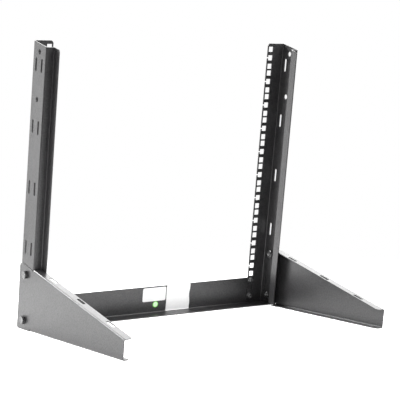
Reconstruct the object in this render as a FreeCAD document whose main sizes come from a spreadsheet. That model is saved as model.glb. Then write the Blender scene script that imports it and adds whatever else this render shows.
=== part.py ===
import FreeCAD, Part
import Sketcher
import os

# Open desktop rack: two leaning steel posts with equipment rails, two triangular feet and a
# cross bar, bolted together. X runs across the rack, Y points away from the feet, Z is up.
# The origin is on the floor at the middle of the rack's box. Lengths in mm, angles in degrees.

SIZES = (
    # Equipment rails, to the 19-inch rack pattern
    ("rail_spacing", 465.1, "between the two columns of rail holes"),
    ("rail_margin", 7.15, "from a column of rail holes to the rail's free edge"),
    ("rail_width", 36.6, "from the rail's free edge to the post's outer face"),
    ("unit_height", 44.45, "one rack unit"),
    ("unit_count", 11, "rack units on the rails"),
    ("rail_hole_spacing", 15.875, "between the three holes of one unit"),
    ("rail_hole_size", 9.5, "side of a square rail hole"),
    ("end_margin", 11.0, "from the first and last rail hole to the post's end"),
    # Posts
    ("lean", 8.0, "how far the posts lean back over the feet"),
    ("post_wall", 1.5, "sheet of the posts"),
    ("bend_radius", 1.5, "inner radius of every bend"),
    ("post_depth", 46.0, "from the rail's face to the back of the post"),
    ("post_return", 16.5, "width of the post's back flange"),
    ("post_lip", 16.5, "height of the lip on the back flange"),
    ("post_corner", 5.5, "rounding of the post's free corners"),
    ("web_line", 22.5, "from the rail's face to the middle line of the side wall's holes"),
    ("web_slot_offset", 10.0, "from that middle line to each column of slots"),
    ("web_slot_length", 24.0, "slot in the side wall"),
    ("web_slot_width", 5.5, "slot in the side wall"),
    ("web_slot_first", 39.2, "from the post's end to the middle of the first slots"),
    ("web_slot_count", 5, "slots in one column"),
    ("foot_bore", 9.0, "bolt holes of the side walls and feet"),
    ("foot_bore_lower", 17.0, "from the post's end to its first bolt hole"),
    ("foot_bore_upper", 97.3, "from the post's end to its second bolt hole"),
    # Cross bar
    ("bar_wall", 1.5, "sheet of the cross bar"),
    ("bar_height", 47.3, "top edge of the bar above the posts' ends"),
    ("bar_reach", 38.9, "from the posts' far corners to the bar's near edge"),
    ("bar_clearance", 2.5, "from the bar's floor flange up to the posts' ends"),
    ("bar_bore", 6.5, "bolt holes of the bar"),
    ("bar_corner", 3.0, "rounding of the bar's top corners"),
    # Feet
    ("foot_wall", 1.5, "sheet of the feet"),
    ("foot_length", 358.9, "length of a foot on the floor"),
    ("foot_front_height", 34.5, "height of the foot's near end"),
    ("foot_back_height", 120.0, "height of the foot's far end, to the line of its top flange"),
    ("foot_edge_drop", 2.0, "plain top edge below the line of the top flange"),
    ("foot_top_flange", 16.0, "width of the top flange"),
    ("foot_floor_flange", 13.0, "width of the floor flange"),
    ("foot_floor_start", 49.0, "from the posts' far corners to the start of the floor flange"),
    ("foot_post_gap", 1.2, "clearance from the post's back flange to the top flange"),
    ("relief_width", 2.5, "notch where a flange of the foot starts"),
    ("relief_depth", 4.0, "notch where a flange of the foot starts"),
    ("foot_slot_length", 24.0, "slot in the top flange"),
    ("foot_slot_width", 5.5, "slot in the top flange"),
    ("foot_slot_margin", 5.0, "from the slots' middle line to the top flange's free edge"),
    ("foot_slot_first", 60.6, "from the near end to the middle of the first slot"),
    ("foot_slot_last", 52.9, "from the middle of the last slot to the flange's far end"),
    ("foot_slot_count", 3, "slots in one top flange"),
    ("foot_top_corner", 8.0, "rounding of the foot's far top corner"),
    ("foot_heel_corner", 5.0, "rounding of the foot's far bottom corner"),
    ("foot_flange_corner", 6.0, "rounding of the flanges' free corners"),
    # Bolts through the feet
    ("foot_bolt", 8.0, "thread of the bolts that hold the feet"),
    ("foot_head_across", 13.0, "hexagon across its flats"),
    ("foot_head_height", 5.3, "head of the foot bolt"),
    ("foot_nut_height", 5.0, "nut of the foot bolt"),
    ("foot_thread_end", 2.5, "thread that stands out of the nut"),
    # Bolts through the rails
    ("rail_bolt", 6.0, "thread of the bolts that hold the bar"),
    ("rail_head_width", 10.5, "round head of the rail bolt"),
    ("rail_head_height", 3.3, "round head of the rail bolt"),
    ("rail_head_rim", 1.1, "straight rim of the round head"),
    ("rail_head_face", 6.1, "flat face of the round head"),
    ("rail_key_across", 4.0, "hexagon socket in the round head"),
    ("rail_key_depth", 2.0, "hexagon socket in the round head"),
    ("washer_width", 13.0, "washer under the round head"),
    ("washer_wall", 1.6, "washer under the round head"),
    ("rail_nut_across", 10.0, "hexagon across its flats"),
    ("rail_nut_height", 5.0, "nut of the rail bolt"),
    ("rail_thread_end", 2.0, "thread that stands out of the nut"),
    ("thread_clearance", 0.1, "between a bolt and its nut or washer, all round"),
    # Blank stickers on the cross bar
    ("sticker_wall", 0.2, "sticker film"),
    ("small_label_left", -9.0, "place across the rack of the small label's left edge"),
    ("small_label_bottom", 18.9, "lower edge of the small label above the posts' ends"),
    ("small_label_width", 50.0, "small label"),
    ("small_label_height", 25.9, "small label"),
    ("small_label_corner", 3.0, "small label"),
    ("tall_label_left", 43.0, "place across the rack of the tall label's left edge"),
    ("tall_label_width", 51.0, "tall label"),
    ("tall_label_margin", 0.3, "from the tall label to the flat wall's upper and lower ends"),
    ("tall_label_corner", 1.0, "tall label"),
    ("round_label_across", 11.4, "round label"),
    ("round_label_place", 19.8, "place across the rack of the round label's middle"),
    ("round_label_height", 12.5, "middle of the round label above the posts' ends"),
)

# The posts stand on nothing: their ends clear the bar's floor flange.
POST_RISE = "(Sizes.bar_wall + Sizes.bar_clearance)"
POST_LENGTH = ("((Sizes.unit_count - 1) * Sizes.unit_height + 2 * Sizes.rail_hole_spacing"
               " + 2 * Sizes.end_margin)")
HOLE_COLUMN = "(Sizes.rail_spacing / 2)"
RAIL_EDGE = f"({HOLE_COLUMN} - Sizes.rail_margin)"
POST_OUTER = f"({RAIL_EDGE} + Sizes.rail_width)"
FOOT_OUTER = f"({POST_OUTER} + Sizes.foot_wall)"
BEND_OUTER = "(Sizes.bend_radius + Sizes.post_wall)"
# The bar is fixed through the first and the third hole of each rail.
BAR_BORES = ("Sizes.end_margin", "(Sizes.end_margin + 2 * Sizes.rail_hole_spacing)")
FOOT_BORES = ("Sizes.foot_bore_lower", "Sizes.foot_bore_upper")
LEFT, RIGHT = -1, 1
SIDES = ((LEFT, "left"), (RIGHT, "right"))
# Through cuts are made from the middle of the sheet, this many sheets deep.
THROUGH = 4
# How far cutting shapes run past what they cut.
OVERRUN = 5.0

doc = FreeCAD.newDocument("desktop_rack")
sheet = doc.addObject("Spreadsheet::Sheet", "Sizes")
for row, (alias, size, note) in enumerate(SIZES, start=1):
    sheet.set(f"A{row}", str(size))
    sheet.set(f"B{row}", note)
    sheet.setAlias(f"A{row}", alias)
doc.recompute()


def number(expression):
    """Value of an expression on the sheet."""
    return float(sheet.evalExpression(str(expression)))


# Places on the leaning posts. "depth" is measured square to the rails, from the rails' far face
# towards the feet, and "along" runs up the posts from their lower ends.
def leaning_y(depth, height):
    """Y at a given height over the floor of the plane that lies at this depth."""
    return (f"((-({depth}) - sin(Sizes.lean) * (({height}) - {POST_RISE})) / cos(Sizes.lean))")


def leaning_point(depth, along):
    """Y and Z of a point of the leaning frame, as a foot and the bar see it."""
    return (f"(-cos(Sizes.lean) * ({depth}) - sin(Sizes.lean) * ({along}))",
            f"(-sin(Sizes.lean) * ({depth}) + cos(Sizes.lean) * ({along}) + {POST_RISE})")


# Depths of the foot's four upright edges, all parallel to the posts.
BACK_DEPTH = "(-Sizes.bar_wall)"
FRONT_DEPTH = "(Sizes.foot_length * cos(Sizes.lean) - Sizes.bar_wall)"
FLANGE_DEPTH = "(Sizes.post_depth + Sizes.foot_post_gap)"
NOTCH_DEPTH = "(Sizes.post_depth + Sizes.foot_post_gap - Sizes.relief_width)"
FOOT_FALL = "(Sizes.foot_back_height - Sizes.foot_front_height)"
FOOT_SLOPE = f"({FOOT_FALL} / (Sizes.foot_length - {FOOT_FALL} * tan(Sizes.lean)))"
FRONT_TOP_Y = leaning_y(FRONT_DEPTH, "Sizes.foot_front_height")


def slope_point(depth, drop):
    """Where the plane at this depth meets the line that lies "drop" below the foot's top line."""
    start = leaning_y(depth, "0")
    height = (f"((Sizes.foot_front_height - ({drop}) / cos(atan({FOOT_SLOPE}))"
              f" + ({start} - {FRONT_TOP_Y}) * {FOOT_SLOPE}) / (1 + {FOOT_SLOPE} * tan(Sizes.lean)))")
    return (leaning_y(depth, height), height)


# The lowest thread ends are the farthest points, the feet's near top corners the nearest.
THREAD_DEPTH = "(Sizes.bar_wall + Sizes.rail_nut_height + Sizes.rail_thread_end)"
THREAD_FOOT = f"({BAR_BORES[0]} - Sizes.rail_bolt / 2)"
FAR_REACH = f"(cos(Sizes.lean) * {THREAD_DEPTH} - sin(Sizes.lean) * {THREAD_FOOT})"
MIDDLE_SHIFT = f"(-({FRONT_TOP_Y} + {FAR_REACH}) / 2)"
UPRIGHT_FRAME = f"placement(vector(0; {MIDDLE_SHIFT}; 0); rotation(vector(1; 0; 0); 0))"
LEANING_FRAME = (f"placement(vector(0; {MIDDLE_SHIFT}; {POST_RISE});"
                 f" rotation(vector(1; 0; 0); Sizes.lean))")


# Small helpers for bodies and sketches
def new_body(name, placement):
    body = doc.addObject("PartDesign::Body", name)
    body.Label = name
    body.setExpression("Placement", placement)
    return body


def new_sketch(body, name, plane_role, offset="vector(0; 0; 0)", tilt="0"):
    """Empty sketch on one of the body's own planes, moved and turned about its own X."""
    sketch = body.newObject("Sketcher::SketchObject", f"{body.Name}_{name}")
    plane = [item for item in body.Origin.OriginFeatures if item.Role == plane_role][0]
    sketch.AttachmentSupport = [(plane, "")]
    sketch.MapMode = "FlatFace"
    sketch.setExpression("AttachmentOffset",
                         f"placement({offset}; rotation(vector(1; 0; 0); {tilt}))")
    return sketch


def fix_point(sketch, geometry, end, place):
    """Hold one point of a sketch at bound distances from the sketch's origin."""
    for kind, distance in zip(("DistanceX", "DistanceY"), place):
        index = sketch.addConstraint(
            Sketcher.Constraint(kind, -1, 1, geometry, end, number(distance)))
        sketch.setExpression(f"Constraints[{index}]", distance)


def draw_outline(sketch, points):
    """Closed outline of straight lines through bound points."""
    corners = [FreeCAD.Vector(number(across), number(up), 0) for across, up in points]
    count = len(corners)
    first = sketch.GeometryCount
    for index, corner in enumerate(corners):
        sketch.addGeometry(Part.LineSegment(corner, corners[(index + 1) % count]), False)
    for index in range(count):
        following = first + (index + 1) % count
        sketch.addConstraint(Sketcher.Constraint("Coincident", first + index, 2, following, 1))
    for index, place in enumerate(points):
        fix_point(sketch, first + index, 1, place)


def draw_circle(sketch, place, across):
    middle = FreeCAD.Vector(number(place[0]), number(place[1]), 0)
    radius = number(across) / 2
    index = sketch.addGeometry(Part.Circle(middle, FreeCAD.Vector(0, 0, 1), radius), False)
    fix_point(sketch, index, 3, place)
    size = sketch.addConstraint(Sketcher.Constraint("Diameter", index, 2 * radius))
    sketch.setExpression(f"Constraints[{size}]", across)


def draw_slot(sketch, place, length, width):
    """Upright slot with round ends, by its middle, whole length and width."""
    half_run = f"(({length}) - ({width})) / 2"
    ends = ((place[0], f"({place[1]}) + {half_run}"), (place[0], f"({place[1]}) - {half_run}"))
    upper, lower = [FreeCAD.Vector(number(across), number(up), 0) for across, up in ends]
    radius = number(width) / 2
    axis = FreeCAD.Vector(0, 0, 1)
    side = FreeCAD.Vector(radius, 0, 0)
    half_turn = 3.141592653589793
    first = sketch.addGeometry(
        Part.ArcOfCircle(Part.Circle(upper, axis, radius), 0, half_turn), False)
    left_line = sketch.addGeometry(Part.LineSegment(upper - side, lower - side), False)
    second = sketch.addGeometry(
        Part.ArcOfCircle(Part.Circle(lower, axis, radius), half_turn, 2 * half_turn), False)
    right_line = sketch.addGeometry(Part.LineSegment(lower + side, upper + side), False)
    for one, one_end, other, other_end in ((first, 2, left_line, 1), (left_line, 2, second, 1),
                                           (second, 2, right_line, 1), (right_line, 2, first, 1)):
        sketch.addConstraint(Sketcher.Constraint("Tangent", one, one_end, other, other_end))
    sketch.addConstraint(Sketcher.Constraint("Equal", first, second))
    fix_point(sketch, first, 3, ends[0])
    fix_point(sketch, second, 3, ends[1])
    size = sketch.addConstraint(Sketcher.Constraint("Radius", first, radius))
    sketch.setExpression(f"Constraints[{size}]", f"({width}) / 2")


def pad_sketch(body, sketch, name, length, middle=False, backwards=False):
    pad = body.newObject("PartDesign::Pad", f"{body.Name}_{name}")
    pad.Profile = sketch
    pad.SideType = "Symmetric" if middle else "One side"
    pad.Reversed = backwards
    pad.setExpression("Length", length)
    doc.recompute()
    return pad


def pocket_sketch(body, sketch, name, length):
    """Cut made to both sides of its sketch."""
    before = body.Shape.Volume
    pocket = body.newObject("PartDesign::Pocket", f"{body.Name}_{name}")
    pocket.Profile = sketch
    pocket.SideType = "Symmetric"
    pocket.setExpression("Length", length)
    doc.recompute()
    if not body.Shape.Volume < before:
        raise ValueError(f"{pocket.Name} cuts nothing")
    return pocket


def repeat_cut(body, cut, name, sketch, count, pitch):
    """Row of equal cuts along the upright axis of their sketch."""
    before = body.Shape.Volume
    pattern = body.newObject("PartDesign::LinearPattern", f"{body.Name}_{name}")
    pattern.Originals = [cut]
    pattern.Direction = (sketch, ["V_Axis"])
    pattern.setExpression("Occurrences", count)
    pattern.setExpression("Length", f"({count} - 1) * ({pitch})")
    body.Tip = pattern
    doc.recompute()
    if not body.Shape.Volume < before:
        raise ValueError(f"{pattern.Name} cuts nothing")
    return pattern


def edge_between(shape, start, end):
    """Name of the straight edge that joins two points."""
    places = [FreeCAD.Vector(*[number(value) for value in point]) for point in (start, end)]
    for index, edge in enumerate(shape.Edges, start=1):
        if len(edge.Vertexes) != 2:
            continue
        ends = [vertex.Point for vertex in edge.Vertexes]
        for first, second in ((ends[0], ends[1]), (ends[1], ends[0])):
            if first.isEqual(places[0], 0.001) and second.isEqual(places[1], 0.001):
                return f"Edge{index}"
    raise ValueError(f"no edge between {places}")


def round_edges(body, name, radius, pairs):
    """Fillet on edges that are given by their two ends, in the body's own frame."""
    base = body.Tip
    fillet = body.newObject("PartDesign::Fillet", f"{body.Name}_{name}")
    fillet.Base = (base, [edge_between(base.Shape, start, end) for start, end in pairs])
    fillet.setExpression("Radius", radius)
    doc.recompute()
    return fillet


# A post is one folded sheet: rail flange, side wall, back flange and lip. Its two ends are cut to
# the lean, so that the rack's post ends lie level. The left post is the right one turned over.
def make_post(name, placement):
    body = new_body(name, placement)
    wall = "Sizes.post_wall"
    back = "-Sizes.post_depth"
    lip_outer = f"{POST_OUTER} - Sizes.post_return"
    profile = new_sketch(body, "profile", "XY_Plane")
    draw_outline(profile, (
        (RAIL_EDGE, "0"),
        (POST_OUTER, "0"),
        (POST_OUTER, back),
        (f"{lip_outer} + {wall}", back),
        (f"{lip_outer} + {wall}", f"{back} - Sizes.post_lip"),
        (lip_outer, f"{back} - Sizes.post_lip"),
        (lip_outer, f"{back} + {wall}"),
        (f"{POST_OUTER} - {wall}", f"{back} + {wall}"),
        (f"{POST_OUTER} - {wall}", f"-{wall}"),
        (RAIL_EDGE, f"-{wall}"),
    ))
    pad_sketch(body, profile, "pad", POST_LENGTH)

    def upright(across, depth):
        return ((across, depth, "0"), (across, depth, POST_LENGTH))

    round_edges(body, "outer_bends", BEND_OUTER, (
        upright(POST_OUTER, "0"),
        upright(POST_OUTER, back),
        upright(lip_outer, f"{back} + {wall}"),
    ))
    round_edges(body, "inner_bends", "Sizes.bend_radius", (
        upright(f"{POST_OUTER} - {wall}", f"-{wall}"),
        upright(f"{POST_OUTER} - {wall}", f"{back} + {wall}"),
        upright(f"{lip_outer} + {wall}", back),
    ))

    reach = f"(Sizes.post_depth + Sizes.post_lip + {OVERRUN})"
    ends = new_sketch(body, "end_cuts", "YZ_Plane")
    rise = f"{reach} * tan(Sizes.lean)"
    dip = f"{OVERRUN} * tan(Sizes.lean)"
    draw_outline(ends, (
        (f"{OVERRUN}", f"-{dip}"),
        (f"-{reach}", rise),
        (f"-{reach}", f"-{OVERRUN}"),
        (f"{OVERRUN}", f"-{OVERRUN}"),
    ))
    draw_outline(ends, (
        (f"{OVERRUN}", f"{POST_LENGTH} + {dip}"),
        (f"-{reach}", f"{POST_LENGTH} - {rise}"),
        (f"-{reach}", f"{POST_LENGTH} + {OVERRUN}"),
        (f"{OVERRUN}", f"{POST_LENGTH} + {OVERRUN}"),
    ))
    pocket_sketch(body, ends, "end_cut", f"4 * {POST_OUTER}")

    holes = new_sketch(body, "rail_holes", "XZ_Plane")
    half = "Sizes.rail_hole_size / 2"
    for place in range(3):
        height = f"(Sizes.end_margin + {place} * Sizes.rail_hole_spacing)"
        draw_outline(holes, (
            (f"{HOLE_COLUMN} - {half}", f"{height} - {half}"),
            (f"{HOLE_COLUMN} + {half}", f"{height} - {half}"),
            (f"{HOLE_COLUMN} + {half}", f"{height} + {half}"),
            (f"{HOLE_COLUMN} - {half}", f"{height} + {half}"),
        ))
    unit_cut = pocket_sketch(body, holes, "unit_cut", f"{THROUGH} * {wall}")
    repeat_cut(body, unit_cut, "unit_row", holes, "Sizes.unit_count", "Sizes.unit_height")

    side_wall = f"vector(0; 0; {POST_OUTER} - {wall} / 2)"
    slots = new_sketch(body, "web_slots", "YZ_Plane", side_wall)
    for offset in ("- Sizes.web_slot_offset", "+ Sizes.web_slot_offset"):
        draw_slot(slots, (f"-Sizes.web_line {offset}", "Sizes.web_slot_first"),
                  "Sizes.web_slot_length", "Sizes.web_slot_width")
    slot_cut = pocket_sketch(body, slots, "slot_cut", f"{THROUGH} * {wall}")
    pitch = f"({POST_LENGTH} - 2 * Sizes.web_slot_first) / (Sizes.web_slot_count - 1)"
    repeat_cut(body, slot_cut, "slot_row", slots, "Sizes.web_slot_count", pitch)

    bores = new_sketch(body, "web_bores", "YZ_Plane", side_wall)
    for along in FOOT_BORES:
        draw_circle(bores, ("-Sizes.web_line", along), "Sizes.foot_bore")
        draw_circle(bores, ("-Sizes.web_line", f"{POST_LENGTH} - {along}"), "Sizes.foot_bore")
    pocket_sketch(body, bores, "bore_cut", f"{THROUGH} * {wall}")

    corners = []
    lip_end = f"{back} - Sizes.post_lip"
    for level, sense in (("0", 1), (POST_LENGTH, -1)):
        def end_height(depth):
            return f"{level} + {sense} * ({depth}) * tan(Sizes.lean)"
        corners.append(((RAIL_EDGE, "0", end_height("0")),
                        (RAIL_EDGE, f"-{wall}", end_height(wall))))
        lip_height = end_height("Sizes.post_depth + Sizes.post_lip")
        corners.append(((lip_outer, lip_end, lip_height),
                        (f"{lip_outer} + {wall}", lip_end, lip_height)))
    round_edges(body, "free_corners", "Sizes.post_corner", corners)
    return body


# A foot is one folded plate: its two upright edges are parallel to the posts, the top flange starts
# behind the post, and short notches end both flanges.
def make_foot(name, side):
    body = new_body(name, UPRIGHT_FRAME)
    wall = "Sizes.foot_wall"
    outer = f"{side} * {FOOT_OUTER}"
    inner = f"{side} * {POST_OUTER}"
    start_of_sheet = f"vector(0; 0; {outer})"
    inwards = side == RIGHT
    floor_start = "(-Sizes.foot_floor_start)"
    top_start = slope_point(FLANGE_DEPTH, "0")
    top_end = slope_point(FRONT_DEPTH, "0")
    bottom_end = (leaning_y(FRONT_DEPTH, "0"), "0")
    heel = (leaning_y(BACK_DEPTH, "0"), "0")
    back_top = slope_point(BACK_DEPTH, "Sizes.foot_edge_drop")

    plate = new_sketch(body, "plate", "YZ_Plane", start_of_sheet)
    draw_outline(plate, (
        heel,
        back_top,
        slope_point(NOTCH_DEPTH, "Sizes.foot_edge_drop"),
        slope_point(NOTCH_DEPTH, "Sizes.relief_depth"),
        slope_point(FLANGE_DEPTH, "Sizes.relief_depth"),
        top_start,
        top_end,
        bottom_end,
        (floor_start, "0"),
        (floor_start, "Sizes.relief_depth"),
        (f"{floor_start} + Sizes.relief_width", "Sizes.relief_depth"),
        (f"{floor_start} + Sizes.relief_width", "0"),
    ))
    pad_sketch(body, plate, "plate_pad", wall, backwards=inwards)

    top_strip = new_sketch(body, "top_strip", "YZ_Plane", start_of_sheet)
    top_start_under = slope_point(FLANGE_DEPTH, wall)
    top_end_under = slope_point(FRONT_DEPTH, wall)
    draw_outline(top_strip, (top_start, top_end, top_end_under, top_start_under))
    pad_sketch(body, top_strip, "top_flange", "Sizes.foot_top_flange", backwards=inwards)

    floor_strip = new_sketch(body, "floor_strip", "YZ_Plane", start_of_sheet)
    bottom_end_inside = (leaning_y(FRONT_DEPTH, wall), wall)
    draw_outline(floor_strip, ((floor_start, "0"), bottom_end, bottom_end_inside,
                               (floor_start, wall)))
    pad_sketch(body, floor_strip, "floor_flange", "Sizes.foot_floor_flange", backwards=inwards)

    round_edges(body, "outer_bends", f"Sizes.bend_radius + {wall}", (
        ((outer, *top_start), (outer, *top_end)),
        ((outer, floor_start, "0"), (outer, *bottom_end)),
    ))
    round_edges(body, "inner_bends", "Sizes.bend_radius", (
        ((inner, *top_start_under), (inner, *top_end_under)),
        ((inner, floor_start, wall), (inner, *bottom_end_inside)),
    ))

    slot_place = f"{side} * ({FOOT_OUTER} - Sizes.foot_top_flange + Sizes.foot_slot_margin)"
    slots = new_sketch(body, "top_slots", "XY_Plane",
                       f"vector(0; {top_end[0]}; {top_end[1]})", f"atan({FOOT_SLOPE})")
    draw_slot(slots, (slot_place, "Sizes.foot_slot_first"),
              "Sizes.foot_slot_length", "Sizes.foot_slot_width")
    slot_cut = pocket_sketch(body, slots, "slot_cut", f"{THROUGH} * {wall}")
    flange_length = (f"sqrt(({top_start[0]} - {top_end[0]}) ^ 2"
                     f" + ({top_start[1]} - {top_end[1]}) ^ 2)")
    pitch = (f"(({flange_length} - Sizes.foot_slot_first - Sizes.foot_slot_last)"
             " / (Sizes.foot_slot_count - 1))")
    repeat_cut(body, slot_cut, "slot_row", slots, "Sizes.foot_slot_count", pitch)

    bores = new_sketch(body, "bores", "YZ_Plane", start_of_sheet)
    for along in FOOT_BORES:
        draw_circle(bores, leaning_point("Sizes.web_line", along), "Sizes.foot_bore")
    pocket_sketch(body, bores, "bore_cut", f"{THROUGH} * {wall}")

    top_edge = f"{side} * ({FOOT_OUTER} - Sizes.foot_top_flange)"
    floor_edge = f"{side} * ({FOOT_OUTER} - Sizes.foot_floor_flange)"
    round_edges(body, "flange_corners", "Sizes.foot_flange_corner", (
        ((top_edge, *top_end), (top_edge, *top_end_under)),
        ((floor_edge, *bottom_end), (floor_edge, *bottom_end_inside)),
    ))
    round_edges(body, "top_corner", "Sizes.foot_top_corner",
                (((outer, *back_top), (inner, *back_top)),))
    round_edges(body, "heel_corner", "Sizes.foot_heel_corner",
                (((outer, *heel), (inner, *heel)),))
    return body


# The cross bar is one folded angle: an upright wall that leans with the posts on the far side of
# the rails, and a floor flange under the posts' ends.
def make_crossbar(name):
    body = new_body(name, UPRIGHT_FRAME)
    wall = "Sizes.bar_wall"
    heel = (leaning_y(BACK_DEPTH, "0"), "0")
    inside = (leaning_y("0", wall), wall)
    back_top = leaning_point(BACK_DEPTH, "Sizes.bar_height")
    front_top = leaning_point("0", "Sizes.bar_height")
    profile = new_sketch(body, "profile", "YZ_Plane")
    draw_outline(profile, (heel, back_top, front_top, inside,
                           ("-Sizes.bar_reach", wall), ("-Sizes.bar_reach", "0")))
    pad_sketch(body, profile, "pad", f"2 * {POST_OUTER}", middle=True)
    left_end, right_end = f"-{POST_OUTER}", POST_OUTER
    round_edges(body, "outer_bend", f"Sizes.bend_radius + {wall}",
                (((left_end, *heel), (right_end, *heel)),))
    round_edges(body, "inner_bend", "Sizes.bend_radius",
                (((left_end, *inside), (right_end, *inside)),))
    bores = new_sketch(body, "bores", "XZ_Plane", f"vector(0; {POST_RISE}; 0)", "Sizes.lean")
    for side, _ in SIDES:
        for along in BAR_BORES:
            draw_circle(bores, (f"{side} * {HOLE_COLUMN}", along), "Sizes.bar_bore")
    pocket_sketch(body, bores, "bore_cut", f"{THROUGH} * {wall}")
    round_edges(body, "top_corners", "Sizes.bar_corner", [
        ((end, *back_top), (end, *front_top)) for end in (left_end, right_end)])
    return body


# Fasteners lie along their own Z, which points from the bolt's head to its nut.
def add_solid(kind, name, sizes, place="vector(0; 0; 0)"):
    """Simple solid with bound sizes, moved but not turned."""
    item = doc.addObject(kind, name)
    for key, expression in sizes.items():
        item.setExpression(key, expression)
    item.setExpression("Placement", f"placement({place}; rotation(vector(1; 0; 0); 0))")
    return item


def add_hexagon(name, across, height, place="vector(0; 0; 0)"):
    prism = add_solid("Part::Prism", name,
                      {"Circumradius": f"{across} / (2 * cos(30))", "Height": height}, place)
    prism.Polygon = 6
    return prism


def join(name, items):
    fused = doc.addObject("Part::MultiFuse", name)
    fused.Shapes = items
    fused.Refine = True
    return fused


def cut(name, base, tool):
    result = doc.addObject("Part::Cut", name)
    result.Base = base
    result.Tool = tool
    return result


def finish_node(item, name, placement):
    item.Label = name
    item.setExpression("Placement", placement)
    doc.recompute()
    return item


def add_shank(name, across, length):
    return add_solid("Part::Cylinder", f"{name}_shank",
                     {"Radius": f"{across} / 2", "Height": length})


def make_foot_bolt(name, placement):
    stack = ("(Sizes.foot_wall + Sizes.post_wall + Sizes.foot_nut_height"
             " + Sizes.foot_thread_end)")
    head = add_hexagon(f"{name}_head", "Sizes.foot_head_across", "Sizes.foot_head_height",
                       "vector(0; 0; -Sizes.foot_head_height)")
    bolt = join(f"{name}_bolt", [head, add_shank(name, "Sizes.foot_bolt", stack)])
    return finish_node(bolt, name, placement)


def make_rail_bolt(name, placement):
    """Round head that narrows to a flat face with a hexagon socket."""
    stack = f"(Sizes.washer_wall + Sizes.post_wall + {THREAD_DEPTH})"
    head_place = "vector(0; 0; -Sizes.rail_head_height)"
    rim = add_solid("Part::Cylinder", f"{name}_rim",
                    {"Radius": "Sizes.rail_head_width / 2", "Height": "Sizes.rail_head_rim"},
                    "vector(0; 0; -Sizes.rail_head_rim)")
    dome = add_solid("Part::Cone", f"{name}_dome",
                     {"Radius1": "Sizes.rail_head_face / 2",
                      "Radius2": "Sizes.rail_head_width / 2",
                      "Height": "Sizes.rail_head_height - Sizes.rail_head_rim"}, head_place)
    body = join(f"{name}_body", [dome, rim, add_shank(name, "Sizes.rail_bolt", stack)])
    socket = add_hexagon(f"{name}_socket", "Sizes.rail_key_across", "Sizes.rail_key_depth",
                         head_place)
    return finish_node(cut(f"{name}_bolt", body, socket), name, placement)


def bored(name, blank, thread, height):
    """Nut or washer: its blank, bored clear of the thread."""
    bore = add_solid("Part::Cylinder", f"{name}_bore",
                     {"Radius": f"{thread} / 2 + Sizes.thread_clearance",
                      "Height": f"({height}) + 2 * {OVERRUN}"}, f"vector(0; 0; -{OVERRUN})")
    return cut(f"{name}_bored", blank, bore)


def make_nut(name, placement, across, height, thread):
    block = add_hexagon(f"{name}_hexagon", across, height)
    return finish_node(bored(name, block, thread, height), name, placement)


def make_washer(name, placement):
    disc = add_solid("Part::Cylinder", f"{name}_disc",
                     {"Radius": "Sizes.washer_width / 2", "Height": "Sizes.washer_wall"})
    washer = bored(name, disc, "Sizes.rail_bolt", "Sizes.washer_wall")
    return finish_node(washer, name, placement)


def foot_axis(side, along, seat):
    """Frame of a foot bolt: Z runs inwards, from a seat given across the rack."""
    return (f"{LEANING_FRAME} * placement(vector({side} * ({seat}); -Sizes.web_line; {along});"
            f" rotation(vector(0; 1; 0); {-side * 90}))")


def rail_axis(side, along, seat):
    """Frame of a rail bolt: Z runs away from the feet, from a seat given as a depth."""
    return (f"{LEANING_FRAME} * placement(vector({side} * {HOLE_COLUMN}; -({seat}); {along});"
            f" rotation(vector(1; 0; 0); -90))")


# Blank stickers on the near face of the cross bar's wall
def make_label(name, left, bottom, width, height, corner):
    body = new_body(name, LEANING_FRAME)
    outline = new_sketch(body, "outline", "XZ_Plane")
    right, top = f"{left} + {width}", f"{bottom} + {height}"
    draw_outline(outline, ((left, bottom), (right, bottom), (right, top), (left, top)))
    pad_sketch(body, outline, "pad", "Sizes.sticker_wall")
    film = ("0", "-Sizes.sticker_wall")
    round_edges(body, "corners", corner, [
        ((across, film[0], up), (across, film[1], up))
        for across in (left, right) for up in (bottom, top)])
    return body


def make_round_label(name):
    disc = add_solid("Part::Cylinder", f"{name}_disc",
                     {"Radius": "Sizes.round_label_across / 2", "Height": "Sizes.sticker_wall"})
    place = (f"{LEANING_FRAME} * placement(vector(Sizes.round_label_place; 0;"
             f" Sizes.round_label_height); rotation(vector(1; 0; 0); 90))")
    return finish_node(disc, name, place)


turned_over = (f"{LEANING_FRAME} * placement(vector(0; 0; {POST_LENGTH});"
               f" rotation(vector(0; 1; 0); 180))")
nodes = [
    make_post("post_right", LEANING_FRAME),
    make_post("post_left", turned_over),
    make_crossbar("crossbar"),
]
for side, side_name in SIDES:
    nodes.append(make_foot(f"foot_{side_name}", side))
    for level, along in zip(("lower", "upper"), FOOT_BORES):
        place_name = f"{side_name}_{level}"
        nodes.append(make_foot_bolt(f"foot_bolt_{place_name}",
                                    foot_axis(side, along, FOOT_OUTER)))
        nodes.append(make_nut(f"foot_nut_{place_name}",
                              foot_axis(side, along, f"{POST_OUTER} - Sizes.post_wall"),
                              "Sizes.foot_head_across", "Sizes.foot_nut_height",
                              "Sizes.foot_bolt"))
    for level, along in zip(("lower", "upper"), BAR_BORES):
        place_name = f"{side_name}_{level}"
        head_seat = rail_axis(side, along, "Sizes.post_wall + Sizes.washer_wall")
        nodes.append(make_rail_bolt(f"rail_bolt_{place_name}", head_seat))
        nodes.append(make_washer(f"rail_washer_{place_name}", head_seat))
        nodes.append(make_nut(f"rail_nut_{place_name}", rail_axis(side, along, BACK_DEPTH),
                              "Sizes.rail_nut_across", "Sizes.rail_nut_height",
                              "Sizes.rail_bolt"))

nodes.append(make_label("label_small", "Sizes.small_label_left", "Sizes.small_label_bottom",
                        "Sizes.small_label_width", "Sizes.small_label_height",
                        "Sizes.small_label_corner"))
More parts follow.
